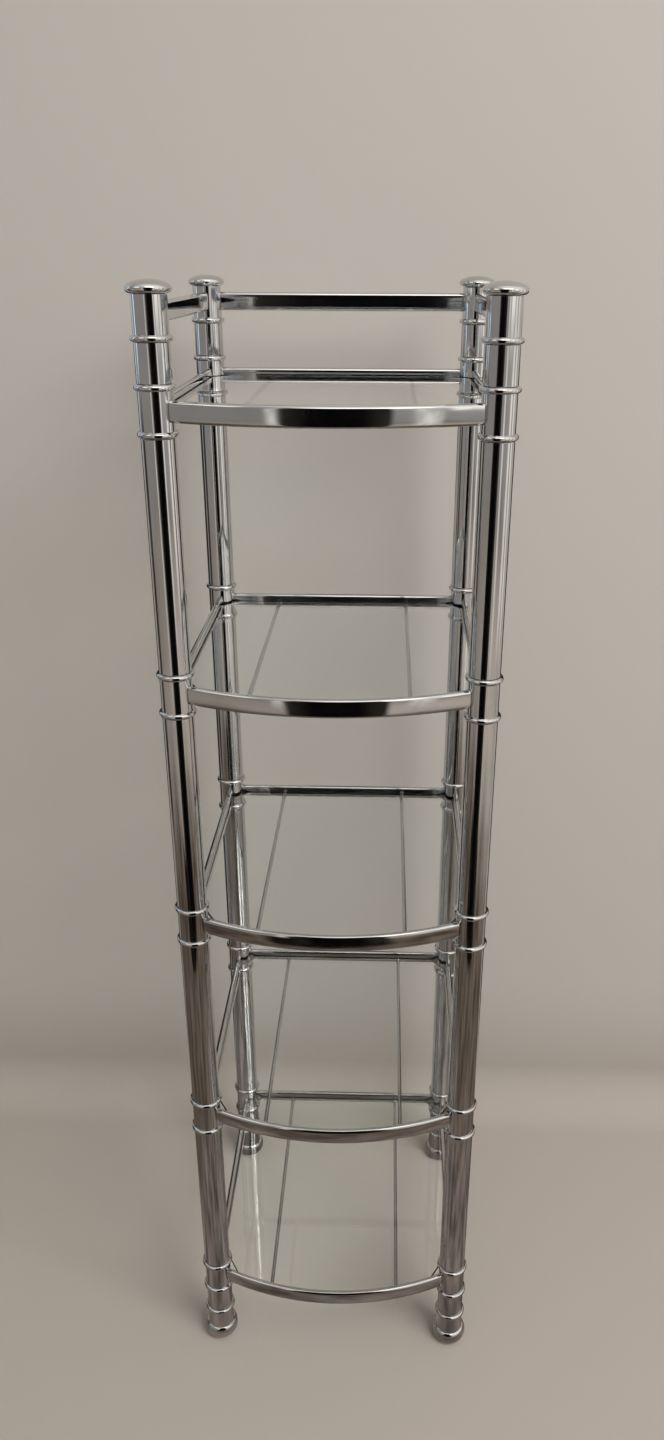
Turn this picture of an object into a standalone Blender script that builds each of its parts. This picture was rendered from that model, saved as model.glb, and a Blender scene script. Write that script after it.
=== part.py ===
"""Chrome and glass shelving tower: bow-fronted glass shelves between four sectional posts.

Metres, +Z up, the front faces -Y. The origin is on the floor, in the middle of the footprint.
Every shelf is a welded chrome frame with a loose glass pane. The posts are short tubes stacked
between the frames' corner collars and drawn together by threaded studs inside them.
"""
import math

import bmesh
import bpy
from mathutils import Matrix

# Layout of the tower
SHELF_NAMES = ("top", "second", "third", "fourth", "bottom")
SHELF_PITCH = 0.254
POST_SPACING_X = 0.285
POST_SPACING_Y = 0.290

# Posts, with beads that are measured from centre to centre
POST_DIAMETER = 0.030
TUBE_WALL = 0.0012
COLLAR_WALL = 0.002
BEAD_PROUD = 0.0027
BEAD_HEIGHT = 0.0054
COLLAR_BEAD_SPACING = 0.038
NECK_BEAD_SPACING = 0.038
GALLERY_COLLAR_HEIGHT = 0.0335
GALLERY_RAIL_BELOW_TOP = 0.006

# Studs and the threaded inserts in the tube ends
STUD_DIAMETER = 0.008
STUD_ENGAGEMENT = 0.015
STEM_END_GAP = 0.003
INSERT_DEPTH = 0.020

# Feet and caps
FOOT_BEAD_LEVEL = 0.046
FOOT_BULB_OVERHANG = 0.0048
FOOT_BULB_LEVEL = 0.0105
FOOT_BULB_SHOULDER = 0.0046
FOOT_BULB_RISE = 0.0089
FOOT_FLARE = 0.0008
FOOT_FLARE_POWER = 2.2
FOOT_EDGE_ROUNDING = 0.0088
CAP_OVERHANG = 0.004
CAP_DOME_HEIGHT = 0.0070
CAP_RIM_HEIGHT = 0.0037

# Rails: a rounded rectangular tube, bowed at the front of each shelf
RAIL_HEIGHT = 0.018
RAIL_THICKNESS = 0.007
RAIL_TOP_FLAT = 0.001
FRONT_BOW = 0.034

# Glass and the two wires that carry it
GLASS_THICKNESS = 0.005
GLASS_EDGE_CHAMFER = 0.0008
GLASS_SIDE_GAP = 0.001
GLASS_CORNER_CLEARANCE = 0.0017
WIRE_DIAMETER = 0.004
WIRE_SPACING = 0.150
WIRE_LIFT = 0.0007

# Clearances between pieces that touch or screw together
FACE_GAP = 0.0003
STUD_CLEARANCE = 0.0003

# Facets
ROUND_SIDES = 12
ROD_SIDES = 8
ROUNDING_STEPS = 2
BOW_STEPS = 10
GLASS_BOW_STEPS = 8
DOME_STEPS = 4
RIM_STEPS = 2
FLARE_STEPS = 2
BULB_STEPS = 3
SMOOTH_ANGLE = math.radians(35)
GROUND_EDGE_ANGLE = math.radians(60)
MERGE_DISTANCE = 0.00001

# Values that follow from the sizes above
POST_RADIUS = POST_DIAMETER / 2
BEAD_RADIUS = POST_RADIUS + BEAD_PROUD
HALF_BEAD = BEAD_HEIGHT / 2
STUD_RADIUS = STUD_DIAMETER / 2
STUD_BORE_RADIUS = STUD_RADIUS + STUD_CLEARANCE
WIRE_RADIUS = WIRE_DIAMETER / 2
RAIL_ROUNDING = (RAIL_THICKNESS - RAIL_TOP_FLAT) / 2
HALF_X = POST_SPACING_X / 2
HALF_Y = POST_SPACING_Y / 2
CORNERS = {
    "front_left": (-HALF_X, -HALF_Y),
    "front_right": (HALF_X, -HALF_Y),
    "rear_left": (-HALF_X, HALF_Y),
    "rear_right": (HALF_X, HALF_Y),
}
COLLAR_HEIGHT = COLLAR_BEAD_SPACING + BEAD_HEIGHT
NECK_LENGTH = NECK_BEAD_SPACING - BEAD_HEIGHT - 2 * FACE_GAP
FOOT_TOP = FOOT_BEAD_LEVEL + HALF_BEAD
BOTTOM_SHELF_LEVEL = FOOT_BEAD_LEVEL + NECK_BEAD_SPACING + COLLAR_BEAD_SPACING / 2
SHELF_LEVELS = [BOTTOM_SHELF_LEVEL + step * SHELF_PITCH for step in reversed(range(len(SHELF_NAMES)))]
GALLERY_BEAD_LEVEL = SHELF_LEVELS[0] + COLLAR_BEAD_SPACING / 2 + NECK_BEAD_SPACING
GALLERY_BOTTOM = GALLERY_BEAD_LEVEL - HALF_BEAD
GALLERY_TOP = GALLERY_BEAD_LEVEL + GALLERY_COLLAR_HEIGHT
GALLERY_RAIL_LEVEL = GALLERY_TOP - GALLERY_RAIL_BELOW_TOP - RAIL_HEIGHT / 2
CAP_BOTTOM = GALLERY_TOP + FACE_GAP
BULB_RADIUS = POST_RADIUS + FOOT_BULB_OVERHANG
CAP_RADIUS = POST_RADIUS + CAP_OVERHANG

# The bow is an arc through the axes of the front posts
BOW_RADIUS = POST_SPACING_X ** 2 / (8 * FRONT_BOW) + FRONT_BOW / 2
BOW_CENTRE_Y = BOW_RADIUS - HALF_Y - FRONT_BOW
BOW_END_ANGLE = math.asin(HALF_X / BOW_RADIUS)

# Rails run into the collars as far as this from the post's axis, and the bores trim them
RAIL_END_INSET = POST_RADIUS / 2
BOW_HALF_ANGLE = math.asin((HALF_X - RAIL_END_INSET) / BOW_RADIUS)

# Wires lie low between the rails, and the glass lies on them
WIRE_BELOW_RAIL_CENTRE = RAIL_HEIGHT / 2 - WIRE_LIFT - WIRE_RADIUS
GLASS_BELOW_RAIL_CENTRE = WIRE_BELOW_RAIL_CENTRE - WIRE_RADIUS - FACE_GAP

# The bow reaches further than the rear feet, so the posts stand behind the origin
FRONT_REACH = HALF_Y + FRONT_BOW + RAIL_THICKNESS / 2
REAR_REACH = HALF_Y + max(BULB_RADIUS, CAP_RADIUS)
POST_CENTRE_Y = (FRONT_REACH - REAR_REACH) / 2

CHROME = ((0.80, 0.81, 0.82, 1.0), 1.0, 0.07, 0.0)
ZINC = ((0.55, 0.55, 0.53, 1.0), 1.0, 0.35, 0.0)
GLASS = ((0.86, 0.93, 0.90, 1.0), 0.0, 0.02, 1.0)


def clear_scene():
    for item in list(bpy.data.objects):
        bpy.data.objects.remove(item, do_unlink=True)


def principled(name, finish):
    colour, metallic, roughness, transmission = finish
    material = bpy.data.materials.new(name)
    material.use_nodes = True
    shader = material.node_tree.nodes["Principled BSDF"]
    shader.inputs["Base Color"].default_value = colour
    shader.inputs["Metallic"].default_value = metallic
    shader.inputs["Roughness"].default_value = roughness
    shader.inputs["Transmission Weight"].default_value = transmission
    return material


def tidy_mesh(shape, name):
    """Weld a bmesh, face it outwards and hand it over as a smooth-shaded mesh."""
    bmesh.ops.remove_doubles(shape, verts=shape.verts, dist=MERGE_DISTANCE)
    bmesh.ops.recalc_face_normals(shape, faces=shape.faces)
    mesh = bpy.data.meshes.new(name)
    shape.to_mesh(mesh)
    shape.free()
    mesh.shade_smooth()
    mesh.set_sharp_from_angle(angle=SMOOTH_ANGLE)
    return mesh


def evaluated_mesh(item, name):
    """The mesh that an object's modifiers give, where it lies; the object itself is removed."""
    bpy.context.view_layer.update()
    result = item.evaluated_get(bpy.context.evaluated_depsgraph_get())
    shape = bmesh.new()
    shape.from_mesh(bpy.data.meshes.new_from_object(result))
    shape.transform(result.matrix_world)
    bpy.data.objects.remove(item, do_unlink=True)
    return tidy_mesh(shape, name)


def loose_object(mesh, location=(0, 0, 0)):
    item = bpy.data.objects.new(mesh.name, mesh)
    item.location = location
    bpy.context.scene.collection.objects.link(item)
    return item


def turned(name, profile, closed=False):
    """A turned piece: (radius, height) points down the outer side, turned about Z."""
    mesh = bpy.data.meshes.new(name)
    edges = [(index, index + 1) for index in range(len(profile) - 1)]
    if closed:
        edges.append((len(profile) - 1, 0))
    mesh.from_pydata([(radius, 0, height) for radius, height in profile], edges, [])
    blank = loose_object(mesh)
    screw = blank.modifiers.new("Turn", "SCREW")
    screw.steps = ROUND_SIDES
    screw.render_steps = ROUND_SIDES
    screw.use_merge_vertices = True
    screw.merge_threshold = MERGE_DISTANCE
    return evaluated_mesh(blank, name)


def ellipse_points(centre, radii, start, end, steps):
    """Points on an ellipse between two angles in degrees, both ends included."""
    points = []
    for step in range(steps + 1):
        angle = math.radians(start + (end - start) * step / steps)
        points.append((centre[0] + radii[0] * math.cos(angle), centre[1] + radii[1] * math.sin(angle)))
    return points


def bead_profile(level):
    """A half-round bead on the post's outline, from its upper foot to its lower one."""
    return [
        (POST_RADIUS, level + HALF_BEAD),
        (BEAD_RADIUS, level + HALF_BEAD / 2),
        (BEAD_RADIUS, level - HALF_BEAD / 2),
        (POST_RADIUS, level - HALF_BEAD),
    ]


def tube_mesh(name, length):
    """A post tube standing on z = 0, with a threaded insert in each end."""
    hollow = POST_RADIUS - TUBE_WALL
    upper = length - INSERT_DEPTH
    if upper <= INSERT_DEPTH:
        bore = [(STUD_BORE_RADIUS, 0), (STUD_BORE_RADIUS, length)]
    else:
        bore = [
            (STUD_BORE_RADIUS, 0),
            (STUD_BORE_RADIUS, INSERT_DEPTH),
            (hollow, INSERT_DEPTH),
            (hollow, upper),
            (STUD_BORE_RADIUS, upper),
            (STUD_BORE_RADIUS, length),
        ]
    return turned(name, [(POST_RADIUS, length), (POST_RADIUS, 0)] + bore, closed=True)


def foot_mesh():
    """A foot: bulb, neck and bead, with the stem that draws the post's lower end together."""
    collar_top = BOTTOM_SHELF_LEVEL + COLLAR_HEIGHT / 2
    stem_top = collar_top + FACE_GAP + STUD_ENGAGEMENT
    crease_radius = POST_RADIUS + FOOT_FLARE
    shoulder_centre = BULB_RADIUS - FOOT_BULB_SHOULDER
    crease_angle = math.degrees(math.acos((crease_radius - shoulder_centre) / FOOT_BULB_SHOULDER))
    upper = ellipse_points((shoulder_centre, FOOT_BULB_LEVEL), (FOOT_BULB_SHOULDER, FOOT_BULB_RISE),
                           crease_angle, 0, BULB_STEPS)
    bottom_radius = BULB_RADIUS - FOOT_EDGE_ROUNDING
    lower = ellipse_points((bottom_radius, FOOT_BULB_LEVEL), (FOOT_EDGE_ROUNDING, FOOT_BULB_LEVEL),
                           0, -90, BULB_STEPS)
    flare_top = FOOT_BEAD_LEVEL - HALF_BEAD
    flare_drop = flare_top - upper[0][1]
    flare = []
    for step in range(1, FLARE_STEPS):
        share = step / FLARE_STEPS
        flare.append((POST_RADIUS + FOOT_FLARE * share ** FOOT_FLARE_POWER, flare_top - flare_drop * share))
    stem = [(0, stem_top), (STUD_RADIUS, stem_top), (STUD_RADIUS, FOOT_TOP)]
    return turned("foot", stem + bead_profile(FOOT_BEAD_LEVEL) + flare + upper + lower[1:] + [(0, 0)])


def cap_mesh():
    """A domed cap, standing on z = 0, with a stem that screws into the neck as far as the stud there."""
    stem_engagement = NECK_LENGTH - STUD_ENGAGEMENT - STEM_END_GAP
    stem_length = FACE_GAP + GALLERY_TOP - GALLERY_BOTTOM + FACE_GAP + stem_engagement
    dome = ellipse_points((0, CAP_RIM_HEIGHT), (CAP_RADIUS, CAP_DOME_HEIGHT), 90, 0, DOME_STEPS)
    rim = ellipse_points((POST_RADIUS, CAP_RIM_HEIGHT), (CAP_OVERHANG, CAP_RIM_HEIGHT), 0, -90, RIM_STEPS)
    stem = [(STUD_RADIUS, 0), (STUD_RADIUS, -stem_length), (0, -stem_length)]
    return turned("cap", dome + rim[1:] + stem)


def collar_solid(beads, bottom, top):
    """A corner collar as a solid plug, with a bead at each level; its bore is cut after welding."""
    outline = []
    for level in sorted(beads, reverse=True):
        outline += bead_profile(level)
    if outline[0][1] < top:
        outline.insert(0, (POST_RADIUS, top))
    return turned("collar", [(0, top)] + outline + [(0, bottom)])


def rail_section(shape):
    """The rounded rectangle of a rail in the YZ plane, as one face."""
    half_y = RAIL_THICKNESS / 2 - RAIL_ROUNDING
    half_z = RAIL_HEIGHT / 2 - RAIL_ROUNDING
    radii = (RAIL_ROUNDING, RAIL_ROUNDING)
    outline = []
    for quarter, (side, rise) in enumerate(((1, 1), (-1, 1), (-1, -1), (1, -1))):
        start = 90 * quarter
        outline += ellipse_points((side * half_y, rise * half_z), radii, start, start + 90, ROUNDING_STEPS)
    return shape.faces.new([shape.verts.new((0, y, z)) for y, z in outline])


def straight_rail(length):
    """A rail along X, centred on the origin."""
    shape = bmesh.new()
    start = rail_section(shape)
    bmesh.ops.translate(shape, verts=shape.verts, vec=(-length / 2, 0, 0))
    swept = bmesh.ops.extrude_face_region(shape, geom=[start], use_keep_orig=True)
    moved = [item for item in swept["geom"] if isinstance(item, bmesh.types.BMVert)]
    bmesh.ops.translate(shape, verts=moved, vec=(length, 0, 0))
    return tidy_mesh(shape, "rail")


def bowed_rail():
    """The front rail: the rail section swept round the bow's centre, from post to post."""
    shape = bmesh.new()
    start = rail_section(shape)
    centre = (0, BOW_CENTRE_Y, 0)
    bmesh.ops.translate(shape, verts=shape.verts, vec=(0, BOW_CENTRE_Y - BOW_RADIUS, 0))
    first_end = shape.copy()
    bmesh.ops.spin(shape, geom=[start], cent=centre, axis=(0, 0, 1), angle=2 * BOW_HALF_ANGLE,
                   steps=BOW_STEPS)
    cap_face = bpy.data.meshes.new("rail end")
    first_end.to_mesh(cap_face)
    first_end.free()
    shape.from_mesh(cap_face)
    bpy.data.meshes.remove(cap_face)
    turn_back = Matrix.Rotation(-BOW_HALF_ANGLE, 3, "Z")
    bmesh.ops.rotate(shape, verts=shape.verts, cent=centre, matrix=turn_back)
    return tidy_mesh(shape, "bowed rail")


def rod(name, length, radius):
    """A round rod along Z, centred on the origin."""
    shape = bmesh.new()
    bmesh.ops.create_cone(shape, cap_ends=True, segments=ROD_SIDES, radius1=radius, radius2=radius,
                          depth=length)
    return tidy_mesh(shape, name)


def bow_line_y(x):
    """Where the bowed rail's centre line is at a given x."""
    return BOW_CENTRE_Y - math.sqrt(BOW_RADIUS ** 2 - x ** 2)


def welded(name, members, cutters):
    """One solid from overlapping members, less the cutters; all of them are used up."""
    base = members[0]
    for operation, operands in (("UNION", members[1:]), ("DIFFERENCE", cutters)):
        for operand in operands:
            joint = base.modifiers.new(operation.title(), "BOOLEAN")
            joint.operation = operation
            joint.solver = "EXACT"
            joint.object = operand
    mesh = evaluated_mesh(base, name)
    for operand in members[1:] + cutters:
        bpy.data.objects.remove(operand, do_unlink=True)
    return mesh


def frame_collars(beads, bottom, top):
    """The four corner collars of a frame and the cutters for their bores."""
    collar = collar_solid(beads, bottom, top)
    bore_length = 2 * max(abs(bottom), abs(top)) + BEAD_HEIGHT
    bore = rod("bore", bore_length, POST_RADIUS - COLLAR_WALL)
    collars = [loose_object(collar, (x, y, 0)) for x, y in CORNERS.values()]
    bores = [loose_object(bore, (x, y, 0)) for x, y in CORNERS.values()]
    for cutter in bores:
        cutter.rotation_euler.z = math.pi / ROD_SIDES
    return collars, bores


def rear_and_side_rails():
    rails = [loose_object(straight_rail(POST_SPACING_X - 2 * RAIL_END_INSET), (0, HALF_Y, 0))]
    for x in (-HALF_X, HALF_X):
        side = loose_object(straight_rail(POST_SPACING_Y - 2 * RAIL_END_INSET), (x, 0, 0))
        side.rotation_euler.z = math.pi / 2
        rails.append(side)
    return rails


def shelf_frame_mesh():
    """A welded shelf frame about its rail level: rails, wires and four beaded collars."""
    half_span = COLLAR_BEAD_SPACING / 2
    half_height = COLLAR_HEIGHT / 2
    collars, bores = frame_collars((half_span, -half_span), -half_height, half_height)
    wires = []
    for x in (-WIRE_SPACING / 2, WIRE_SPACING / 2):
        front = bow_line_y(x)
        wire = loose_object(rod("wire", HALF_Y - front, WIRE_RADIUS))
        wire.location = (x, (HALF_Y + front) / 2, -WIRE_BELOW_RAIL_CENTRE)
        wire.rotation_euler.x = math.pi / 2
        wires.append(wire)
    members = [loose_object(bowed_rail())] + rear_and_side_rails() + wires + collars
    return welded("shelf frame", members, bores)


def gallery_mesh():
    """The low rail round the back and sides of the top shelf, about its rail level."""
    bead = GALLERY_BEAD_LEVEL - GALLERY_RAIL_LEVEL
    collars, bores = frame_collars((bead,), bead - HALF_BEAD, GALLERY_TOP - GALLERY_RAIL_LEVEL)
    return welded("gallery", rear_and_side_rails() + collars, bores)


def glass_outline():
    """The pane in plan: bowed in front, each corner cut evenly off to pass the beads of its post."""
    inset = RAIL_THICKNESS / 2 + GLASS_SIDE_GAP
    reach = BEAD_RADIUS + GLASS_CORNER_CLEARANCE
    side = HALF_X - inset
    rear_cut = reach * math.sqrt(2) - inset
    # A front corner's cut is square to the line halfway between the normals of its two edges
    halfway = (math.pi / 2 + BOW_END_ANGLE) / 2
    front_cut = (reach - inset * math.sin(halfway)) / math.cos(halfway)
    right = [
        (HALF_X - rear_cut, HALF_Y - inset),
        (side, HALF_Y - rear_cut),
        (side, front_cut - HALF_Y),
    ]
    # That cut meets the front edge's arc, both measured from the bow's centre
    arc_radius = BOW_RADIUS - inset
    cut_distance = BOW_RADIUS * math.cos(halfway - BOW_END_ANGLE) - reach
    corner_angle = halfway - math.acos(cut_distance / arc_radius)
    front = []
    for step in range(GLASS_BOW_STEPS + 1):
        angle = corner_angle * (1 - 2 * step / GLASS_BOW_STEPS)
        front.append((arc_radius * math.sin(angle), BOW_CENTRE_Y - arc_radius * math.cos(angle)))
    left = [(-x, y) for x, y in reversed(right)]
    return right + front + left


def glass_mesh():
    """A pane lying on z = 0, cut from its outline, with ground edges."""
    outline = bpy.data.curves.new("pane outline", "CURVE")
    outline.dimensions = "2D"
    outline.fill_mode = "BOTH"
    outline.extrude = GLASS_THICKNESS / 2
    points = glass_outline()
    spline = outline.splines.new("POLY")
    spline.points.add(len(points) - 1)
    for point, (x, y) in zip(spline.points, points):
        point.co = (x, y, 0, 1)
    spline.use_cyclic_u = True
    plate = bpy.data.objects.new("pane blank", outline)
    bpy.context.scene.collection.objects.link(plate)
    blank = loose_object(evaluated_mesh(plate, "pane"))
    blank.data.transform(Matrix.Translation((0, 0, GLASS_THICKNESS / 2)))
    grind = blank.modifiers.new("Ground edge", "BEVEL")
    grind.width = GLASS_EDGE_CHAMFER
    grind.segments = 1
    grind.limit_method = "ANGLE"
    grind.angle_limit = GROUND_EDGE_ANGLE
    return evaluated_mesh(blank, "pane")


def main():
    clear_scene()
    parts = bpy.data.collections.new("Glass shelving tower")
    bpy.context.scene.collection.children.link(parts)
    chrome = principled("polished chrome", CHROME)
    zinc = principled("zinc plated steel", ZINC)
    glass = principled("clear glass", GLASS)
    tower = bpy.data.objects.new("tower", None)
    tower.location.y = POST_CENTRE_Y
    parts.objects.link(tower)

    def place(name, mesh, material, location):
        item = bpy.data.objects.new(name, mesh)
        item.parent = tower
        item.location = location
        if not mesh.materials:
            mesh.materials.append(material)
        parts.objects.link(item)

    shelf_frame = shelf_frame_mesh()
    pane = glass_mesh()
    for shelf, level in zip(SHELF_NAMES, SHELF_LEVELS):
        place(f"shelf_frame_{shelf}", shelf_frame, chrome, (0, 0, level))
        place(f"glass_pane_{shelf}", pane, glass, (0, 0, level - GLASS_BELOW_RAIL_CENTRE))
    place("gallery_rail", gallery_mesh(), chrome, (0, 0, GALLERY_RAIL_LEVEL))

    post_tube = tube_mesh("post tube", SHELF_PITCH - COLLAR_HEIGHT - 2 * FACE_GAP)
    neck_tube = tube_mesh("neck tube", NECK_LENGTH)
    stud_length = COLLAR_HEIGHT + 2 * (FACE_GAP + STUD_ENGAGEMENT)
    stud = rod("stud", stud_length, STUD_RADIUS)
    foot = foot_mesh()
    cap = cap_mesh()
    for corner, (x, y) in CORNERS.items():
        for shelf, level in zip(SHELF_NAMES[1:], SHELF_LEVELS[1:]):
            start = level + COLLAR_HEIGHT / 2 + FACE_GAP
            place(f"post_tube_above_{shelf}_{corner}", post_tube, chrome, (x, y, start))
        for shelf, level in zip(SHELF_NAMES[:-1], SHELF_LEVELS[:-1]):
            place(f"stud_{shelf}_{corner}", stud, zinc, (x, y, level))
        top_neck_start = SHELF_LEVELS[0] + COLLAR_HEIGHT / 2 + FACE_GAP
        place(f"neck_tube_top_{corner}", neck_tube, chrome, (x, y, top_neck_start))
        place(f"neck_tube_bottom_{corner}", neck_tube, chrome, (x, y, FOOT_TOP + FACE_GAP))
        place(f"foot_{corner}", foot, chrome, (x, y, 0))
        place(f"cap_{corner}", cap, chrome, (x, y, CAP_BOTTOM))


main()
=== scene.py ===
"""The finished look of a chrome and glass shelving tower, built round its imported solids.

Every chrome piece is turned or swept again with fine faces, the panes are cut with polished edges,
and each finish is a procedural material. Metres, +Z up, the front faces -Y.
"""
import math

import bmesh
import bpy
from mathutils import Matrix, Vector


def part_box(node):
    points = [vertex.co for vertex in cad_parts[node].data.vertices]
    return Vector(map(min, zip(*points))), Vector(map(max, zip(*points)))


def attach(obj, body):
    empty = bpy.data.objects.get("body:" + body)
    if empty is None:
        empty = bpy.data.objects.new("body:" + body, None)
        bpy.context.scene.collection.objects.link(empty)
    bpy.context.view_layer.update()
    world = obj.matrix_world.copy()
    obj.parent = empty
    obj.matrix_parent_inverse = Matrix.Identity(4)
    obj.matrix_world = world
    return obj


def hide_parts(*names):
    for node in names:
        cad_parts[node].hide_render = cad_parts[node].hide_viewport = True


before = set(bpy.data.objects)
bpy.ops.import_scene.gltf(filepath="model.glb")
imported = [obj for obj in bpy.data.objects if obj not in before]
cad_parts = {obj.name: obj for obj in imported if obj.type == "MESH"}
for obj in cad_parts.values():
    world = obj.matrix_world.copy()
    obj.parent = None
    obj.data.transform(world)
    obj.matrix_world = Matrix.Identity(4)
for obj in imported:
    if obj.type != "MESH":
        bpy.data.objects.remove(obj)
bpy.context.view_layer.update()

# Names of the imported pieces
SHELVES = ("top", "second", "third", "fourth", "bottom")
CORNERS = ("front_left", "front_right", "rear_left", "rear_right")
TOWER = "tower"

# Beads and collars
BEAD_PROUD = 0.0027
BEAD_HEIGHT = 0.0054
COLLAR_WALL = 0.002
END_ROUNDING = 0.0004

# Tubes, their inserts, the studs' bores and the gap where two pieces of a post meet
TUBE_WALL = 0.0012
INSERT_DEPTH = 0.020
STUD_RADIUS = 0.004
STUD_CLEARANCE = 0.0003
BUTT_GAP = 0.0003

# Feet and caps
FOOT_BEAD_LEVEL = 0.046
FOOT_BULB_OVERHANG = 0.0048
FOOT_BULB_LEVEL = 0.0105
FOOT_BULB_SHOULDER = 0.0046
FOOT_BULB_RISE = 0.0089
FOOT_FLARE = 0.0008
FOOT_FLARE_POWER = 2.2
FOOT_EDGE_ROUNDING = 0.0088
CAP_OVERHANG = 0.004
CAP_DOME_HEIGHT = 0.0070
CAP_RIM_HEIGHT = 0.0037

# Rails
RAIL_HEIGHT = 0.018
RAIL_THICKNESS = 0.007
RAIL_ROUNDING = 0.003
RAIL_CROWN = 0.0004
RAIL_END_ROUNDING = 0.0012
RAIL_SINK = 0.0003
FRONT_BOW = 0.034
GALLERY_RAIL_BELOW_TOP = 0.006

# Wires, with a weld at each end
WIRE_RADIUS = 0.0022
WIRE_SPACING = 0.150
WIRE_LIFT = 0.0004
WELD_RADIUS = 0.0031
WELD_LENGTH = 0.0022

# Glass
GLASS_SIDE_GAP = 0.001
GLASS_CORNER_CLEARANCE = 0.0017
GLASS_CORNER_ROUNDING = 0.005
GLASS_ARRIS = 0.0007

# Fineness of the meshes
TURN_STEPS = 64
WIRE_STEPS = 20
BEAD_STEPS = 10
ROUNDING_STEPS = 5
BULB_STEPS = 14
FLARE_STEPS = 8
DOME_STEPS = 16
RIM_STEPS = 8
RAIL_STEPS = 40
GLASS_BOW_STEPS = 48
GLASS_CORNER_STEPS = 6
FACE_STEPS = 6
SHARP_ANGLE = math.radians(30)
GLASS_SHARP_ANGLE = math.radians(15)
MERGE_DISTANCE = 0.000001

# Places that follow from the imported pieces
AXES = {}
for corner in CORNERS:
    tube_low, tube_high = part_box(f"post_tube_above_bottom_{corner}")
    AXES[corner] = ((tube_low + tube_high) / 2).to_2d()
POST_RADIUS = (tube_high.x - tube_low.x) / 2
HALF_X = AXES["front_right"].x
FRONT_Y = AXES["front_right"].y
REAR_Y = AXES["rear_right"].y
MIDDLE_Y = (FRONT_Y + REAR_Y) / 2
HALF_Y = (REAR_Y - FRONT_Y) / 2
BEAD_RADIUS = POST_RADIUS + BEAD_PROUD
STUD_BORE = STUD_RADIUS + STUD_CLEARANCE

# The bow: an arc through the axes of the front posts
BOW_RADIUS = HALF_X ** 2 / (2 * FRONT_BOW) + FRONT_BOW / 2
BOW_CENTRE_Y = FRONT_Y - FRONT_BOW + BOW_RADIUS
BOW_END_ANGLE = math.asin(HALF_X / BOW_RADIUS)

# The camera of the photograph
IMAGE_HEIGHT = 1440
FOCAL_LENGTH_PIXELS = 1048.1
LENS_CENTRE_OFFSET_PIXELS = (-29.0, 2.4)
CAMERA_PLACE = (0.0504, -1.0371, 1.2338)
CAMERA_PITCH = math.radians(-23.75)
CAMERA_YAW = math.radians(1.34)
CAMERA_ROLL = math.radians(0.26)

# The stage
WALL_Y = 0.27
COVE_RADIUS = 0.07
COVE_STEPS = 12
STAGE_HALF_WIDTH = 4.0
STAGE_FRONT = -5.0
WALL_HEIGHT = 3.2
FLOOR_COLOUR = (0.41, 0.37, 0.335)
WALL_COLOUR = (0.51, 0.48, 0.45)
WALL_TONE_HEIGHT = 0.25

# The soft lamp, and a world that brightens up and to the right
KEY_PLACE = (1.9, -1.8, 3.0)
KEY_TARGET = (0, 0.1, 0.8)
KEY_SIZE = (2.0, 1.8)
KEY_POWER = 90
KEY_COLOUR = (1.0, 0.98, 0.95)
SKY_TOWARD = (0.45, -0.1, 0.75)
SKY_STOPS = [(0, (0.29, 0.275, 0.26)), (0.3, (0.37, 0.355, 0.34)),
             (0.5, (0.56, 0.545, 0.525)), (0.75, (1.0, 0.98, 0.95))]

# Cards that show only in reflections
UPRIGHT = (math.pi / 2, 0, 0)
LEVEL = (0, 0, 0)
OVERHEAD_TILT = (math.radians(40), 0, 0)
WARM_GLOW = (0.92, 0.87, 0.80)
COOL_GLOW = (0.48, 0.72, 0.95)
REAR_CARD_COLOUR = (0.04, 0.038, 0.036)
REAR_CARD_HALF_HEIGHT = 0.6
WALL_CARD_Y = WALL_Y - 0.005
REACH_FADE = 0.9


def arc(centre, radii, start, end, steps):
    """Points on an ellipse between two angles in degrees, both ends included."""
    points = []
    for step in range(steps + 1):
        angle = math.radians(start + (end - start) * step / steps)
        points.append((centre[0] + radii[0] * math.cos(angle), centre[1] + radii[1] * math.sin(angle)))
    return points


def add_solid(shape, part, place=(0, 0, 0), material=0):
    """Adds a finished bmesh to another one, moved to its place, with one material, and frees it."""
    bmesh.ops.remove_doubles(part, verts=part.verts, dist=MERGE_DISTANCE)
    bmesh.ops.recalc_face_normals(part, faces=part.faces)
    for face in part.faces:
        face.material_index = material
    part.transform(Matrix.Translation(place))
    carrier = bpy.data.meshes.new("carrier")
    part.to_mesh(carrier)
    part.free()
    shape.from_mesh(carrier)
    bpy.data.meshes.remove(carrier)


def turned(profile, steps=TURN_STEPS, closed=False):
    """A turned solid about Z: (radius, height) points, joined end to end if closed."""
    part = bmesh.new()
    verts = [part.verts.new((radius, 0, height)) for radius, height in profile]
    pairs = list(zip(verts, verts[1:]))
    if closed:
        pairs.append((verts[-1], verts[0]))
    edges = [part.edges.new(pair) for pair in pairs]
    bmesh.ops.spin(part, geom=verts + edges, cent=(0, 0, 0), axis=(0, 0, 1), angle=2 * math.pi,
                   steps=steps, use_merge=True)
    return part


def make_piece(name, shape, materials, body, nodes, sharp=SHARP_ANGLE):
    """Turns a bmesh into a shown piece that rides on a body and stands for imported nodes."""
    mesh = bpy.data.meshes.new(name)
    shape.to_mesh(mesh)
    shape.free()
    mesh.shade_smooth()
    mesh.set_sharp_from_angle(angle=sharp)
    for material in materials:
        mesh.materials.append(material)
    piece = bpy.data.objects.new(name, mesh)
    bpy.context.scene.collection.objects.link(piece)
    even = piece.modifiers.new("Even shading", "WEIGHTED_NORMAL")
    even.keep_sharp = True
    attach(piece, body)
    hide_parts(*nodes)
    return piece


# Turned pieces

def bead_profile(level):
    """A half-round bead on the post's outline, from its upper foot to its lower one."""
    return arc((POST_RADIUS, level), (BEAD_PROUD, BEAD_HEIGHT / 2), 90, -90, BEAD_STEPS)


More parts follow.
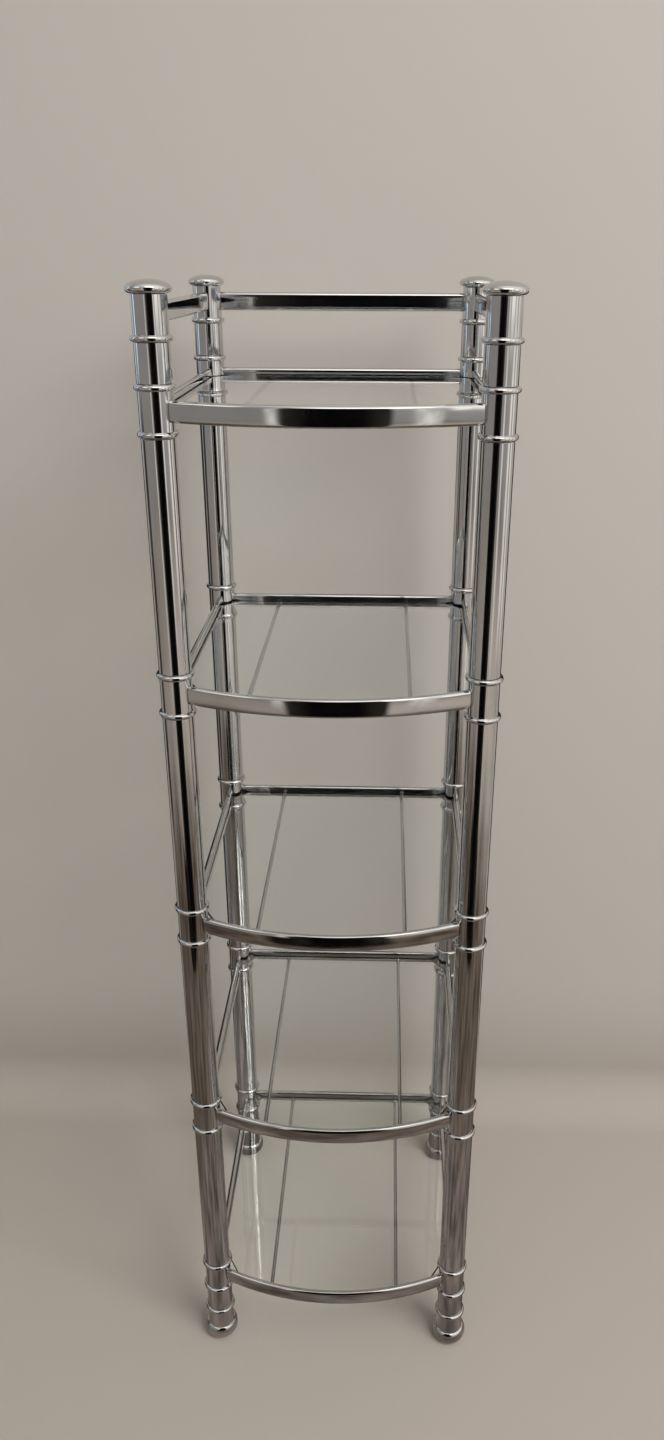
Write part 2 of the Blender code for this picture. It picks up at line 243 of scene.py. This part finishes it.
def tube_profile(bottom, top):
    """A post tube with softened ends and a threaded insert in each of them."""
    soft = END_ROUNDING
    upper = arc((POST_RADIUS - soft, top - soft), (soft, soft), 90, 0, ROUNDING_STEPS)
    lower = arc((POST_RADIUS - soft, bottom + soft), (soft, soft), 0, -90, ROUNDING_STEPS)
    hollow = POST_RADIUS - TUBE_WALL
    bore = [(STUD_BORE, bottom), (STUD_BORE, top)]
    if top - bottom > 2 * INSERT_DEPTH:
        first, last = bottom + INSERT_DEPTH, top - INSERT_DEPTH
        bore[1:1] = [(STUD_BORE, first), (hollow, first), (hollow, last), (STUD_BORE, last)]
    return upper + lower + bore


def collar_profile(bottom, top, beads):
    """A collar's outline, down its outer side with its beads and up its bore."""
    outline = []
    for level in beads:
        outline += bead_profile(level)
    if outline[0][1] < top - END_ROUNDING:
        soft = END_ROUNDING
        outline = arc((POST_RADIUS - soft, top - soft), (soft, soft), 90, 0, ROUNDING_STEPS) + outline
    bore = POST_RADIUS - COLLAR_WALL
    return outline + [(bore, bottom), (bore, top)]


def foot_profile(stem_top):
    """A foot from its stem's tip down: bead, neck, creased shoulder, bulb and flat sole."""
    half_bead = BEAD_HEIGHT / 2
    bulb_radius = POST_RADIUS + FOOT_BULB_OVERHANG
    shoulder_centre = bulb_radius - FOOT_BULB_SHOULDER
    crease_reach = POST_RADIUS + FOOT_FLARE - shoulder_centre
    crease_angle = math.degrees(math.acos(crease_reach / FOOT_BULB_SHOULDER))
    upper = arc((shoulder_centre, FOOT_BULB_LEVEL), (FOOT_BULB_SHOULDER, FOOT_BULB_RISE),
                crease_angle, 0, BULB_STEPS)
    sole_radius = bulb_radius - FOOT_EDGE_ROUNDING
    lower = arc((sole_radius, FOOT_BULB_LEVEL), (FOOT_EDGE_ROUNDING, FOOT_BULB_LEVEL), 0, -90, BULB_STEPS)
    flare_top = FOOT_BEAD_LEVEL - half_bead
    flare_drop = flare_top - upper[0][1]
    flare = []
    for step in range(1, FLARE_STEPS):
        share = step / FLARE_STEPS
        flare.append((POST_RADIUS + FOOT_FLARE * share ** FOOT_FLARE_POWER, flare_top - flare_drop * share))
    stem = [(0, stem_top), (STUD_RADIUS, stem_top), (STUD_RADIUS, FOOT_BEAD_LEVEL + half_bead)]
    return stem + bead_profile(FOOT_BEAD_LEVEL) + flare + upper + lower[1:] + [(0, 0)]


def cap_profile(bottom, stem_bottom):
    """A domed cap from its crown down over the rim, with the stem below it."""
    rim_level = bottom + CAP_RIM_HEIGHT
    radius = POST_RADIUS + CAP_OVERHANG
    dome = arc((0, rim_level), (radius, CAP_DOME_HEIGHT), 90, 0, DOME_STEPS)
    rim = arc((POST_RADIUS, rim_level), (CAP_OVERHANG, CAP_RIM_HEIGHT), 0, -90, RIM_STEPS)
    return dome + rim[1:] + [(STUD_RADIUS, bottom), (STUD_RADIUS, stem_bottom), (0, stem_bottom)]


# Rails and wires

def rail_section():
    """(outward, up) points of a rail: a rounded rectangle with slightly crowned sides."""
    half_out = RAIL_THICKNESS / 2 - RAIL_ROUNDING
    half_up = RAIL_HEIGHT / 2 - RAIL_ROUNDING
    corner = arc((half_out, half_up), (RAIL_ROUNDING,) * 2, 0, 90, ROUNDING_STEPS)
    side = [(RAIL_THICKNESS / 2, half_up * (2 * step / FACE_STEPS - 1)) for step in range(1, FACE_STEPS)]
    right = [(out, -up) for out, up in reversed(corner)] + side + corner
    crowned = [(out * (1 - 2 * RAIL_CROWN / RAIL_THICKNESS * (2 * up / RAIL_HEIGHT) ** 2), up)
               for out, up in right]
    return crowned + [(-out, -up) for out, up in crowned]


def coped_rail(reach, place, steps):
    """A rail swept along its line, coped to the collars at both ends, with rounded end edges.

    reach(out) is how far the rail runs each way at an outward offset, and place(along, out, up) is
    the point there.
    """
    rows = []
    soft = RAIL_END_ROUNDING
    rounding = [(soft * math.sin(angle), soft * (1 - math.cos(angle)))
                for angle in (math.pi / 2 * step / ROUNDING_STEPS for step in range(1, ROUNDING_STEPS + 1))]
    stations = [(-1, run, inset) for run, inset in reversed(rounding)]
    stations += [(2 * step / steps - 1, 0, 0) for step in range(steps + 1)]
    stations += [(1, run, inset) for run, inset in rounding]
    part = bmesh.new()
    for share, run, inset in stations:
        row = []
        for out, up in rail_section():
            along = share * (reach(out) - soft + run)
            narrow = out * (1 - 2 * inset / RAIL_THICKNESS)
            low = up * (1 - 2 * inset / RAIL_HEIGHT)
            row.append(part.verts.new(place(along, narrow, low)))
        rows.append(row)
    for row, following in zip(rows, rows[1:]):
        for index in range(len(row)):
            after = (index + 1) % len(row)
            part.faces.new((row[index], row[after], following[after], following[index]))
    part.faces.new(rows[0])
    part.faces.new(rows[-1])
    return part


def cope_reach(half_length):
    """The reach of a straight rail between two collars."""
    collar = POST_RADIUS - RAIL_SINK
    return lambda out: half_length - math.sqrt(collar ** 2 - out ** 2)


def bowed_rail(level):
    """The front rail, bowed between the front collars."""
    collar = POST_RADIUS - RAIL_SINK

    def reach(out):
        radius = BOW_RADIUS + out
        gap = math.acos((radius ** 2 + BOW_RADIUS ** 2 - collar ** 2) / (2 * radius * BOW_RADIUS))
        return BOW_RADIUS * (BOW_END_ANGLE - gap)

    def place(along, out, up):
        angle = along / BOW_RADIUS
        radius = BOW_RADIUS + out
        return radius * math.sin(angle), BOW_CENTRE_Y - radius * math.cos(angle), level + up

    return coped_rail(reach, place, RAIL_STEPS)


def straight_rails(level):
    """The back rail and the two side rails at a level."""
    def back(along, out, up):
        return -along, REAR_Y + out, level + up

    def left(along, out, up):
        return -HALF_X - out, MIDDLE_Y - along, level + up

    def right(along, out, up):
        return HALF_X + out, MIDDLE_Y + along, level + up

    rails = [coped_rail(cope_reach(HALF_X), back, steps=1)]
    rails += [coped_rail(cope_reach(HALF_Y), side, steps=1) for side in (left, right)]
    return rails


def bow_line_y(x):
    """Where the bowed rail's centre line is at a given x."""
    return BOW_CENTRE_Y - math.sqrt(BOW_RADIUS ** 2 - x ** 2)


def wire(x, level):
    """A wire under the glass, from the front rail to the back rail, with a small weld at each end."""
    front = bow_line_y(x) + RAIL_THICKNESS / 2 / math.cos(math.asin(x / BOW_RADIUS))
    back = REAR_Y - RAIL_THICKNESS / 2
    sunk = RAIL_THICKNESS / 4
    half = (back - front) / 2
    weld = arc((WELD_RADIUS, half - WELD_LENGTH), (WELD_RADIUS - WIRE_RADIUS, WELD_LENGTH),
               180, 90, ROUNDING_STEPS)
    upper = [(0, half + sunk), (WELD_RADIUS, half + sunk)] + weld[::-1]
    profile = upper + [(radius, -height) for radius, height in reversed(upper)]
    part = turned(profile, steps=WIRE_STEPS)
    part.transform(Matrix.Rotation(math.pi / 2, 4, "X"))
    height = level - RAIL_HEIGHT / 2 + WIRE_LIFT + WIRE_RADIUS
    part.transform(Matrix.Translation((x, (front + back) / 2, height)))
    return part


# Glass

def rounded_corners(outline, corners):
    """The outline with the named corners rounded off."""
    points = []
    for index, point in enumerate(outline):
        if index not in corners:
            points.append(point)
            continue
        before = (outline[index - 1] - point).normalized()
        after = (outline[(index + 1) % len(outline)] - point).normalized()
        half = before.angle(after) / 2
        setback = GLASS_CORNER_ROUNDING / math.tan(half)
        centre = point + (before + after).normalized() * (GLASS_CORNER_ROUNDING / math.sin(half))
        first, last = point + before * setback - centre, point + after * setback - centre
        for step in range(GLASS_CORNER_STEPS + 1):
            spoke = first.slerp(last, step / GLASS_CORNER_STEPS)
            points.append(centre + spoke * (GLASS_CORNER_ROUNDING / spoke.length))
    return points


def glass_outline():
    """The pane in plan: bowed in front, each corner cut evenly off to pass its post."""
    inset = RAIL_THICKNESS / 2 + GLASS_SIDE_GAP
    reach = BEAD_RADIUS + GLASS_CORNER_CLEARANCE
    side = HALF_X - inset
    rear_cut = reach * math.sqrt(2) - inset
    # A front corner's cut is square to the line halfway between the normals of its two edges
    halfway = (math.pi / 2 + BOW_END_ANGLE) / 2
    front_cut = (reach - inset * math.sin(halfway)) / math.cos(halfway)
    right = [
        Vector((HALF_X - rear_cut, REAR_Y - inset)),
        Vector((side, REAR_Y - rear_cut)),
        Vector((side, FRONT_Y + front_cut)),
    ]
    radius = BOW_RADIUS - inset
    corner_angle = halfway - math.acos((BOW_RADIUS * math.cos(halfway - BOW_END_ANGLE) - reach) / radius)
    front = []
    for step in range(GLASS_BOW_STEPS + 1):
        angle = corner_angle * (1 - 2 * step / GLASS_BOW_STEPS)
        front.append(Vector((radius * math.sin(angle), BOW_CENTRE_Y - radius * math.cos(angle))))
    left = [Vector((-point.x, point.y)) for point in reversed(right)]
    outline = right + front + left
    last = len(outline) - 1
    return rounded_corners(outline, {0, 1, 2, 3, last - 3, last - 2, last - 1, last})


def pane(bottom, top):
    """A flat pane with a polished, slightly softened edge all round."""
    part = bmesh.new()
    outline = glass_outline()
    lower = part.faces.new([part.verts.new((point.x, point.y, bottom)) for point in outline])
    raised = bmesh.ops.extrude_face_region(part, geom=[lower], use_keep_orig=True)
    moved = [item for item in raised["geom"] if isinstance(item, bmesh.types.BMVert)]
    bmesh.ops.translate(part, verts=moved, vec=(0, 0, top - bottom))
    bmesh.ops.recalc_face_normals(part, faces=part.faces)
    rims = [edge for edge in part.edges if len({vert.co.z for vert in edge.verts}) == 1]
    bmesh.ops.bevel(part, geom=rims, offset=GLASS_ARRIS, segments=2, profile=0.5, affect="EDGES")
    return part


# Materials

def new_material(name):
    """A node material, its tree and its main shader."""
    material = bpy.data.materials.new(name)
    material.use_nodes = True
    tree = material.node_tree
    return material, tree, tree.nodes["Principled BSDF"]


def coordinates(tree, scale):
    """Object coordinates, stretched."""
    source = tree.nodes.new("ShaderNodeTexCoord")
    mapping = tree.nodes.new("ShaderNodeMapping")
    mapping.inputs["Scale"].default_value = scale
    tree.links.new(source.outputs["Object"], mapping.inputs["Vector"])
    return mapping.outputs["Vector"]


def noise(tree, scale, detail, stretch=(1, 1, 1)):
    """Cloudy values over the object, finer with a larger scale."""
    texture = tree.nodes.new("ShaderNodeTexNoise")
    texture.inputs["Scale"].default_value = scale
    texture.inputs["Detail"].default_value = detail
    tree.links.new(coordinates(tree, stretch), texture.inputs["Vector"])
    return texture.outputs["Fac"]


def remap(tree, value, low, high, to_low, to_high):
    """A value carried smoothly from one range to another."""
    node = tree.nodes.new("ShaderNodeMapRange")
    node.interpolation_type = "SMOOTHSTEP"
    node.inputs["From Min"].default_value = low
    node.inputs["From Max"].default_value = high
    node.inputs["To Min"].default_value = to_low
    node.inputs["To Max"].default_value = to_high
    tree.links.new(value, node.inputs["Value"])
    return node.outputs["Result"]


def ramp(tree, value, stops):
    """A colour for each value, from (position, colour) stops."""
    node = tree.nodes.new("ShaderNodeValToRGB")
    elements = node.color_ramp.elements
    while len(elements) < len(stops):
        elements.new(0.5)
    for element, (position, colour) in zip(elements, stops):
        element.position = position
        element.color = (*colour, 1)
    tree.links.new(value, node.inputs["Fac"])
    return node.outputs["Color"]


def bump(tree, height, strength, distance, base=None):
    """Normals raised by a height, on top of others if they are given."""
    node = tree.nodes.new("ShaderNodeBump")
    node.inputs["Strength"].default_value = strength
    node.inputs["Distance"].default_value = distance
    tree.links.new(height, node.inputs["Height"])
    if base is not None:
        tree.links.new(base, node.inputs["Normal"])
    return node.outputs["Normal"]


def chrome(name, dull, bright, smooth, smeared, lines, wave):
    """Mirror chrome: faint clouding, smears, polishing lines along the metal and a slow waviness."""
    material, tree, shader = new_material(name)
    shader.inputs["Metallic"].default_value = 1.0
    clouding = noise(tree, scale=22, detail=4)
    tree.links.new(ramp(tree, clouding, [(0.35, dull), (0.65, bright)]), shader.inputs["Base Color"])
    smears = noise(tree, scale=38, detail=6)
    tree.links.new(remap(tree, smears, 0.4, 0.75, smooth, smeared), shader.inputs["Roughness"])
    waves = bump(tree, noise(tree, scale=14, detail=1), strength=wave, distance=0.002)
    polishing = noise(tree, scale=420, detail=2, stretch=lines)
    polished = bump(tree, polishing, strength=0.012, distance=0.0002, base=waves)
    tree.links.new(polished, shader.inputs["Normal"])
    return material


def clear_glass():
    """Float glass: a breath of smears on its faces and a green cast along its length."""
    material, tree, shader = new_material("clear_float_glass")
    shader.inputs["Transmission Weight"].default_value = 1.0
    shader.inputs["IOR"].default_value = 1.52
    clouding = noise(tree, scale=6, detail=2)
    tint = ramp(tree, clouding, [(0.3, (0.985, 0.995, 0.992)), (0.7, (0.995, 1.0, 0.998))])
    tree.links.new(tint, shader.inputs["Base Color"])
    smears = noise(tree, scale=9, detail=5)
    tree.links.new(remap(tree, smears, 0.5, 0.8, 0.0, 0.035), shader.inputs["Roughness"])
    body = tree.nodes.new("ShaderNodeVolumeAbsorption")
    body.inputs["Color"].default_value = (0.50, 0.83, 0.70, 1)
    body.inputs["Density"].default_value = 7.0
    clear = tree.nodes.new("ShaderNodeBsdfTransparent")
    clear.inputs["Color"].default_value = (0.96, 0.98, 0.97, 1)
    path = tree.nodes.new("ShaderNodeLightPath")
    mix = tree.nodes.new("ShaderNodeMixShader")
    output = tree.nodes["Material Output"]
    tree.links.new(path.outputs["Is Shadow Ray"], mix.inputs["Fac"])
    tree.links.new(shader.outputs["BSDF"], mix.inputs[1])
    tree.links.new(clear.outputs["BSDF"], mix.inputs[2])
    tree.links.new(mix.outputs["Shader"], output.inputs["Surface"])
    tree.links.new(body.outputs["Volume"], output.inputs["Volume"])
    return material


def zinc_thread():
    """Zinc-plated stud: dull grey with the ridges of its thread."""
    material, tree, shader = new_material("zinc_thread")
    shader.inputs["Metallic"].default_value = 1.0
    clouding = noise(tree, scale=180, detail=4)
    plating = ramp(tree, clouding, [(0.3, (0.42, 0.42, 0.40)), (0.7, (0.60, 0.60, 0.57))])
    tree.links.new(plating, shader.inputs["Base Color"])
    smears = noise(tree, scale=240, detail=3)
    tree.links.new(remap(tree, smears, 0.3, 0.7, 0.3, 0.45), shader.inputs["Roughness"])
    ridges = tree.nodes.new("ShaderNodeTexWave")
    ridges.bands_direction = "Z"
    ridges.inputs["Scale"].default_value = 250
    tree.links.new(coordinates(tree, (1, 1, 1)), ridges.inputs["Vector"])
    threaded = bump(tree, ridges.outputs["Fac"], strength=0.6, distance=0.0006)
    tree.links.new(threaded, shader.inputs["Normal"])
    return material


# Name, dull and bright colour, least and most roughness, stretch of the polishing lines, waviness
CHROME_TUBE = chrome("chrome_tube", (0.60, 0.60, 0.605), (0.66, 0.66, 0.665), 0.05, 0.10, (1, 1, 0.02), 0.02)
CHROME_RAIL = chrome("chrome_rail", (0.58, 0.58, 0.58), (0.64, 0.64, 0.64), 0.06, 0.11, (1, 1, 1), 0.05)
CHROME_CAST = chrome("chrome_cast", (0.62, 0.62, 0.62), (0.68, 0.68, 0.68), 0.05, 0.10, (1, 1, 1), 0.02)
CHROME_WIRE = chrome("chrome_wire", (0.54, 0.54, 0.54), (0.60, 0.60, 0.60), 0.12, 0.20, (1, 0.02, 1), 0.02)
GLASS = clear_glass()
ZINC = zinc_thread()


# The tower's pieces

def build_posts():
    """Tubes, necks, feet and caps of the four posts, and the studs' finish."""
    for corner in CORNERS:
        place = (*AXES[corner], 0)
        sections = [(f"tube_above_{shelf}_{corner}", f"post_tube_above_{shelf}_{corner}")
                    for shelf in SHELVES[1:]]
        sections += [(f"neck_{end}_{corner}", f"neck_tube_{end}_{corner}") for end in ("top", "bottom")]
        for name, node in sections:
            low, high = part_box(node)
            shape = bmesh.new()
            add_solid(shape, turned(tube_profile(low.z, high.z), closed=True), place)
            make_piece(name, shape, [CHROME_TUBE], TOWER, [node])
        for name, node, profile in (
                ("bulb_foot", "foot", foot_profile(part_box(f"foot_{corner}")[1].z)),
                ("domed_cap", "cap", cap_profile(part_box("gallery_rail")[1].z + BUTT_GAP,
                                                 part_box(f"cap_{corner}")[0].z))):
            shape = bmesh.new()
            add_solid(shape, turned(profile), place)
            make_piece(f"{name}_{corner}", shape, [CHROME_CAST], TOWER, [f"{node}_{corner}"])
        for shelf in SHELVES[:-1]:
            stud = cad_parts[f"stud_{shelf}_{corner}"]
            stud.data.materials.clear()
            stud.data.materials.append(ZINC)


def add_collars(shape, bottom, top, beads):
    """A collar round each post, with beads at the given levels."""
    for corner in CORNERS:
        add_solid(shape, turned(collar_profile(bottom, top, beads), closed=True), (*AXES[corner], 0))


def build_frames():
    """The welded shelf frames and the gallery, each one piece, and the panes."""
    half_bead = BEAD_HEIGHT / 2
    for shelf in SHELVES:
        node = f"shelf_frame_{shelf}"
        low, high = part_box(node)
        level = (low.z + high.z) / 2
        shape = bmesh.new()
        add_collars(shape, low.z, high.z, (high.z - half_bead, low.z + half_bead))
        for rail in [bowed_rail(level)] + straight_rails(level):
            add_solid(shape, rail, material=1)
        for x in (-WIRE_SPACING / 2, WIRE_SPACING / 2):
            add_solid(shape, wire(x, level), material=2)
        make_piece(f"welded_frame_{shelf}", shape, [CHROME_TUBE, CHROME_RAIL, CHROME_WIRE],
                   TOWER, [node])

        node = f"glass_pane_{shelf}"
        low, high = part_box(node)
        shape = bmesh.new()
        add_solid(shape, pane(low.z, high.z))
        make_piece(f"polished_pane_{shelf}", shape, [GLASS], f"pane_{shelf}", [node],
                   GLASS_SHARP_ANGLE)

    low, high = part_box("gallery_rail")
    shape = bmesh.new()
    add_collars(shape, low.z, high.z, (low.z + half_bead,))
    for rail in straight_rails(high.z - GALLERY_RAIL_BELOW_TOP - RAIL_HEIGHT / 2):
        add_solid(shape, rail, material=1)
    make_piece("welded_gallery", shape, [CHROME_TUBE, CHROME_RAIL], TOWER, ["gallery_rail"])


# Stage, light and camera

def paper(name, floor_colour, wall_colour):
    """Plain matt paper: warmer on the floor, paler up the wall, and only seen from its front."""
    material, tree, shader = new_material(name)
    height = tree.nodes.new("ShaderNodeSeparateXYZ")
    tree.links.new(coordinates(tree, (1, 1, 1)), height.inputs["Vector"])
    upward = remap(tree, height.outputs["Z"], 0.0, WALL_TONE_HEIGHT, 0, 1)
    tree.links.new(ramp(tree, upward, [(0, floor_colour), (1, wall_colour)]), shader.inputs["Base Color"])
    shader.inputs["Roughness"].default_value = 0.8
    shader.inputs["Specular IOR Level"].default_value = 0.0
    tooth = bump(tree, noise(tree, scale=160, detail=3), strength=0.05, distance=0.001)
    tree.links.new(tooth, shader.inputs["Normal"])
    clear = tree.nodes.new("ShaderNodeBsdfTransparent")
    facing = tree.nodes.new("ShaderNodeNewGeometry")
    mix = tree.nodes.new("ShaderNodeMixShader")
    tree.links.new(facing.outputs["Backfacing"], mix.inputs["Fac"])
    tree.links.new(shader.outputs["BSDF"], mix.inputs[1])
    tree.links.new(clear.outputs["BSDF"], mix.inputs[2])
    tree.links.new(mix.outputs["Shader"], tree.nodes["Material Output"].inputs["Surface"])
    return material


def paper_sheet(name, line, material):
    """A wide sheet of paper along a line of (y, z) points."""
    shape = bmesh.new()
    rows = [[shape.verts.new((side * STAGE_HALF_WIDTH, y, z)) for side in (-1, 1)] for y, z in line]
    for (left, right), (next_left, next_right) in zip(rows, rows[1:]):
        shape.faces.new((left, right, next_right, next_left))
    mesh = bpy.data.meshes.new(name)
    shape.to_mesh(mesh)
    shape.free()
    mesh.shade_smooth()
    mesh.materials.append(material)
    sheet = bpy.data.objects.new(name, mesh)
    bpy.context.scene.collection.objects.link(sheet)


def build_stage():
    """A sweep of paper with floor, cove and wall, and more floor behind it for the views from the rear."""
    material = paper("stage_paper", FLOOR_COLOUR, WALL_COLOUR)
    cove_start = WALL_Y - COVE_RADIUS
    cove = arc((cove_start, COVE_RADIUS), (COVE_RADIUS, COVE_RADIUS), -90, 0, COVE_STEPS)
    paper_sheet("stage_sweep", [(STAGE_FRONT, 0), *cove, (WALL_Y, WALL_HEIGHT)], material)
    paper_sheet("stage_floor_behind", [(cove_start, 0), (-STAGE_FRONT, 0)], material)


def area_light(name, place, target, size, power, colour):
    """A soft lamp that lights the scene and isn't seen in it."""
    data = bpy.data.lights.new(name, "AREA")
    data.shape = "RECTANGLE"
    data.size, data.size_y = size
    data.energy = power
    data.color = colour
    lamp = bpy.data.objects.new(name, data)
    lamp.location = place
    lamp.rotation_euler = (Vector(target) - Vector(place)).to_track_quat("-Z", "Y").to_euler()
    lamp.visible_camera = False
    lamp.visible_glossy = False
    bpy.context.scene.collection.objects.link(lamp)


def mirror_card(name, place, turn, half_size, colour, softness,
                glow=0.0, grain=2, contrast=1.3, reach=None):
    """A soft-edged studio card, dark or glowing, that shows only in reflections.

    The cards draw the chrome's bands. With a reach, a card shows only in what stands nearer to it
    than that.
    """
    mesh = bpy.data.meshes.new(name)
    shape = bmesh.new()
    bmesh.ops.create_grid(shape, x_segments=1, y_segments=1, size=1)
    shape.to_mesh(mesh)
    shape.free()
    material, tree, shader = new_material(name)
    darker = [part / contrast for part in colour]
    paler = [part * contrast for part in colour]
    tone = ramp(tree, noise(tree, scale=grain, detail=3), [(0.35, darker), (0.65, paler)])
    shader.inputs["Base Color"].default_value = (0, 0, 0, 1)
    tree.links.new(tone, shader.inputs["Emission Color" if glow else "Base Color"])
    shader.inputs["Emission Strength"].default_value = glow
    shader.inputs["Roughness"].default_value = 1.0
    shader.inputs["Specular IOR Level"].default_value = 0.0
    axes = tree.nodes.new("ShaderNodeSeparateXYZ")
    tree.links.new(coordinates(tree, (1, 1, 1)), axes.inputs["Vector"])
    path = tree.nodes.new("ShaderNodeLightPath")
    cover = remap(tree, path.outputs["Glossy Depth"], 0, 1, 0, 1)
    fades = []
    for axis, soft in zip("XY", softness):
        away = tree.nodes.new("ShaderNodeMath")
        away.operation = "ABSOLUTE"
        tree.links.new(axes.outputs[axis], away.inputs[0])
        fades.append(remap(tree, away.outputs["Value"], 1 - soft, 1, 1, 0))
    if reach:
        fades.append(remap(tree, path.outputs["Ray Length"], REACH_FADE * reach, reach, 1, 0))
    for fade in fades:
        both = tree.nodes.new("ShaderNodeMath")
        both.operation = "MULTIPLY"
        tree.links.new(cover, both.inputs[0])
        tree.links.new(fade, both.inputs[1])
        cover = both.outputs["Value"]
    clear = tree.nodes.new("ShaderNodeBsdfTransparent")
    mix = tree.nodes.new("ShaderNodeMixShader")
    tree.links.new(cover, mix.inputs["Fac"])
    tree.links.new(clear.outputs["BSDF"], mix.inputs[1])
    tree.links.new(shader.outputs["BSDF"], mix.inputs[2])
    tree.links.new(mix.outputs["Shader"], tree.nodes["Material Output"].inputs["Surface"])
    mesh.materials.append(material)
    card = bpy.data.objects.new(name, mesh)
    card.location = place
    card.rotation_euler = turn
    card.scale = (*half_size, 1)
    card.visible_camera = False
    card.visible_diffuse = False
    card.visible_shadow = False
    bpy.context.scene.collection.objects.link(card)


def upright_card(name, bearing, distance, half_width, low, high, colour, softness, glow=0.0):
    """A card on its edge, facing the tower, at a bearing in degrees from the front round to the right."""
    angle = math.radians(bearing)
    place = (distance * math.sin(angle), -distance * math.cos(angle), (low + high) / 2)
    half_size = (half_width, (high - low) / 2)
    mirror_card(name, place, (math.pi / 2, 0, angle), half_size, colour, softness, glow)


def build_cards():
    """The dark floor card and a glowing floor patch first, then the dark cards, then the glowing ones."""
    # A darker floor that shows only in reflections: a painted reflection of floor in the lower chrome
    mirror_card("stage_card_floor", (-0.1, 0, 0.002), LEVEL, half_size=(1.8, 1.8),
                colour=(0.105, 0.084, 0.068), softness=(0.5, 0.5), grain=9, contrast=1.7)
    # A glowing patch of floor round the feet that shows only in reflections: a painted reflection of lit
    # floor, with no shade under the feet
    mirror_card("stage_glow_floor_near", (0.05, -0.2, 0.003), LEVEL, half_size=(0.6, 0.36),
                colour=(0.15, 0.122, 0.104), softness=(0.5, 0.5), glow=1.0, grain=5, contrast=1.9)
    # Name, bearing, distance, half width, lower and upper edge, colour, softness of its edges
    for card in (
            ("front", 0.8, 0.72, 0.22, 0.09, 1.69, (0.008, 0.007, 0.008), (0.6, 0.2)),
            ("front_wide", 0.8, 0.74, 0.27, 0.09, 1.69, (0.05, 0.045, 0.04), (0.15, 0.2)),
            ("front_low", -3, 0.9, 0.5, -0.25, 0.3, (0.02, 0.018, 0.016), (0.3, 0.3)),
            ("left", -97, 1.3, 0.4, 0.0, 1.05, (0.05, 0.048, 0.046), (0.3, 0.3))):
        upright_card(f"stage_card_{card[0]}", *card[1:])
    # Name, place across, half width and reach of the dark cards behind the tower
    for name, x, half_width, reach in (
            ("wide_left", -0.4, 0.19, None),
            ("left", -0.164, 0.022, 0.16),
            ("middle", 0.01, 0.07, 0.15),
            ("right", 0.164, 0.022, 0.16),
            ("wide_right", 0.4, 0.19, None)):
        mirror_card(f"stage_card_rear_{name}", (x, WALL_CARD_Y, REAR_CARD_HALF_HEIGHT), UPRIGHT,
                    (half_width, REAR_CARD_HALF_HEIGHT), REAR_CARD_COLOUR, (0.25, 0.2), reach=reach)
    mirror_card("stage_glow_wall", (-0.7, WALL_CARD_Y, 1.4), UPRIGHT, half_size=(0.05, 0.5),
                colour=COOL_GLOW, softness=(0.6, 0.3), glow=2.3)
    mirror_card("stage_glow_overhead", (0.4, -1.3, 2.5), OVERHEAD_TILT, half_size=(0.9, 0.5),
                colour=WARM_GLOW, softness=(0.5, 0.5), glow=2.8)
    # As for the upright dark cards, with the strength of the glow last
    for card in (
            ("left", -90, 1.2, 0.08, 1.0, 2.0, COOL_GLOW, (0.6, 0.2), 2.1),
            ("high_left", -50, 1.6, 0.5, 1.75, 2.9, WARM_GLOW, (0.5, 0.3), 1.5),
            ("front_left", -21, 1.55, 0.09, 0.2, 1.9, WARM_GLOW, (0.8, 0.3), 0.8),
            ("front_right", 32, 1.6, 0.2, 0.2, 1.9, WARM_GLOW, (0.8, 0.3), 0.85),
            ("high_right", 50, 1.75, 0.4, 1.0, 2.3, WARM_GLOW, (0.5, 0.3), 1.5),
            ("right", 72, 1.6, 0.25, 0.3, 1.9, WARM_GLOW, (0.5, 0.3), 1.0),
            ("right_rear", 92, 1.5, 0.2, 0.3, 1.9, WARM_GLOW, (0.5, 0.3), 1.0)):
        upright_card(f"stage_glow_{card[0]}", *card[1:])


def build_light():
    """One soft lamp from the upper right, and the world round it."""
    area_light("softbox_key", KEY_PLACE, KEY_TARGET, KEY_SIZE, KEY_POWER, KEY_COLOUR)
    world = bpy.data.worlds.new("studio")
    world.use_nodes = True
    tree = world.node_tree
    direction = tree.nodes.new("ShaderNodeTexCoord")
    toward = tree.nodes.new("ShaderNodeVectorMath")
    toward.operation = "DOT_PRODUCT"
    toward.inputs[1].default_value = SKY_TOWARD
    tree.links.new(direction.outputs["Generated"], toward.inputs[0])
    sky = ramp(tree, toward.outputs["Value"], SKY_STOPS)
    tree.links.new(sky, tree.nodes["Background"].inputs["Color"])
    bpy.context.scene.world = world


def build_camera():
    """The camera where the photograph was taken from."""
    data = bpy.data.cameras.new("photo_camera")
    data.lens = data.sensor_width * FOCAL_LENGTH_PIXELS / IMAGE_HEIGHT
    data.shift_x = LENS_CENTRE_OFFSET_PIXELS[0] / IMAGE_HEIGHT
    data.shift_y = LENS_CENTRE_OFFSET_PIXELS[1] / IMAGE_HEIGHT
    camera = bpy.data.objects.new("photo_camera", data)
    turn = Matrix.Rotation(CAMERA_YAW, 4, "Z") @ Matrix.Rotation(math.pi / 2 + CAMERA_PITCH, 4, "X")
    camera.matrix_world = Matrix.Translation(CAMERA_PLACE) @ turn @ Matrix.Rotation(CAMERA_ROLL, 4, "Z")
    bpy.context.scene.collection.objects.link(camera)
    bpy.context.scene.camera = camera


build_camera()
build_stage()
build_light()
build_cards()
build_posts()
build_frames()
bpy.context.scene.view_settings.view_transform = "Standard"
